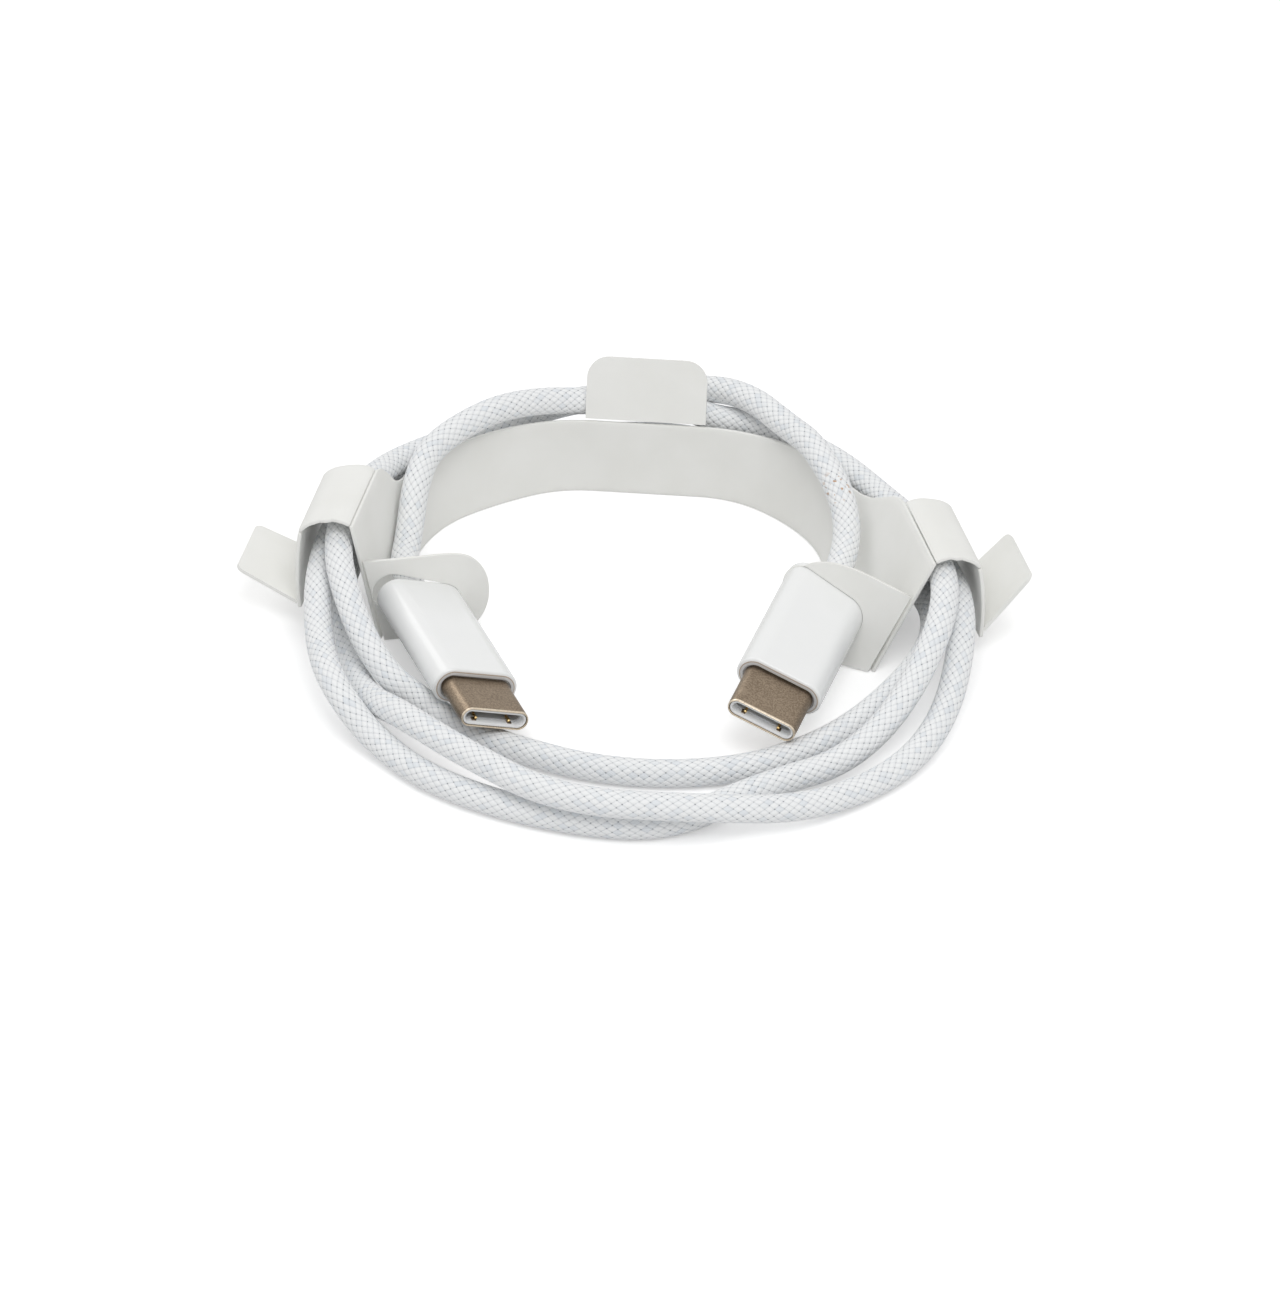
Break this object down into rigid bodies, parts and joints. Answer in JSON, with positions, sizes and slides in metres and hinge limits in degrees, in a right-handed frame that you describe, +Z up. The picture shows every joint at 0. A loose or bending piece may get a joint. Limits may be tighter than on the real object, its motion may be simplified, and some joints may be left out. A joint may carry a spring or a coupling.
{
  "type": "charging cable",
  "caption": "Braided charging cable with a USB-C plug at each end, coiled in a folded card holder with straps, plug tabs and a back tab.",
  "frame": {"origin": "under the middle of the card holder, on the surface that it stands on", "axes": "+Z up; -Y is the front, where the plug mouths point; +X is to the right as seen from the front"},
  "size_m": [0.091, 0.083, 0.017],
  "materials": {
    "card": "matt coated card, pale cut edges",
    "braid": "woven textile sleeve, white and pale blue-grey threads",
    "plug_housing": "smooth white plastic",
    "collar": "light grey ring",
    "plug_shell": "satin stainless steel",
    "carrier": "black moulding",
    "contacts": "gold-plated spring strip",
    "latch": "satin",
    "board": "circuit board",
    "chip": "black chip package",
    "relief": "white elastomer",
    "wires": "insulated wire"
  },
  "bodies": {
    "holder": {"card_band": "card", "cable_coil": "braid", "left_cable_end": "braid", "right_cable_end": "braid"},
    "back_tab": {"back_tab": "card"},
    "left_roof": {"left_roof": "card"},
    "left_outer_wall": {"left_outer_wall": "card"},
    "left_ear": {"left_ear": "card"},
    "left_plug": {"left_plug_tab": "card", "left_housing": "plug_housing", "left_collar": "collar", "left_shell": "plug_shell", "left_contact_carrier": "carrier", "left_upper_contacts": "contacts", "left_lower_contacts": "contacts", "left_side_latch": "latch", "left_shield_springs": "contacts", "left_paddle_board": "board", "left_marker_chip": "chip", "left_shield_can": "latch", "left_crimp_ferrule": "latch", "left_strain_relief": "relief", "left_core_wires": "wires"},
    "right_roof": {"right_roof": "card"},
    "right_outer_wall": {"right_outer_wall": "card"},
    "right_ear": {"right_ear": "card"},
    "right_plug": {"right_plug_tab": "card", "right_housing": "plug_housing", "right_collar": "collar", "right_shell": "plug_shell", "right_contact_carrier": "carrier", "right_upper_contacts": "contacts", "right_lower_contacts": "contacts", "right_side_latch": "latch", "right_shield_springs": "contacts", "right_paddle_board": "board", "right_marker_chip": "chip", "right_shield_can": "latch", "right_crimp_ferrule": "latch", "right_strain_relief": "relief", "right_core_wires": "wires"}
  },
  "joints": [
    {"name": "back_tab_fold", "type": "hinge", "parent": "holder", "child": "back_tab", "pos_m": [-0.00559, 0.01819, 0.00965], "axis": [0.9941, -0.1082, 0], "range_deg": [0, 90]},
    {"name": "left_roof_fold", "type": "hinge", "parent": "holder", "child": "left_roof", "pos_m": [-0.03202, -0.01294, 0.015], "axis": [0.2045, 0.9789, 0], "range_deg": [0, 100]},
    {"name": "left_outer_wall_fold", "type": "hinge", "parent": "left_roof", "child": "left_outer_wall", "pos_m": [-0.03799, -0.01169, 0.01343], "axis": [0.2045, 0.9789, 0], "range_deg": [0, 80]},
    {"name": "left_ear_fold", "type": "hinge", "parent": "left_outer_wall", "child": "left_ear", "pos_m": [-0.03815, -0.01114, 0.00313], "axis": [0.2045, 0.9789, 0], "range_deg": [-60, 0]},
    {"name": "left_plug_swing", "type": "hinge", "parent": "holder", "child": "left_plug", "pos_m": [-0.02913, -0.01405, 0], "axis": [-0.1952, 0.0408, 0.9799], "range_deg": [0, 8], "deforming": ["left_cable_end"]},
    {"name": "right_roof_fold", "type": "hinge", "parent": "holder", "child": "right_roof", "pos_m": [0.03414, -0.01865, 0.0137], "axis": [0.2317, -0.9728, 0], "range_deg": [0, 100]},
    {"name": "right_outer_wall_fold", "type": "hinge", "parent": "right_roof", "child": "right_outer_wall", "pos_m": [0.03941, -0.01739, 0.01225], "axis": [0.2317, -0.9728, 0], "range_deg": [0, 80]},
    {"name": "right_ear_fold", "type": "hinge", "parent": "right_outer_wall", "child": "right_ear", "pos_m": [0.03961, -0.01683, 0.00276], "axis": [0.2317, -0.9728, 0], "range_deg": [-60, 0]},
    {"name": "right_plug_swing", "type": "hinge", "parent": "holder", "child": "right_plug", "pos_m": [0.02747, -0.02075, 0], "axis": [-0.4416, -0.1052, -0.891], "range_deg": [0, 8], "deforming": ["right_cable_end"]}
  ]
}
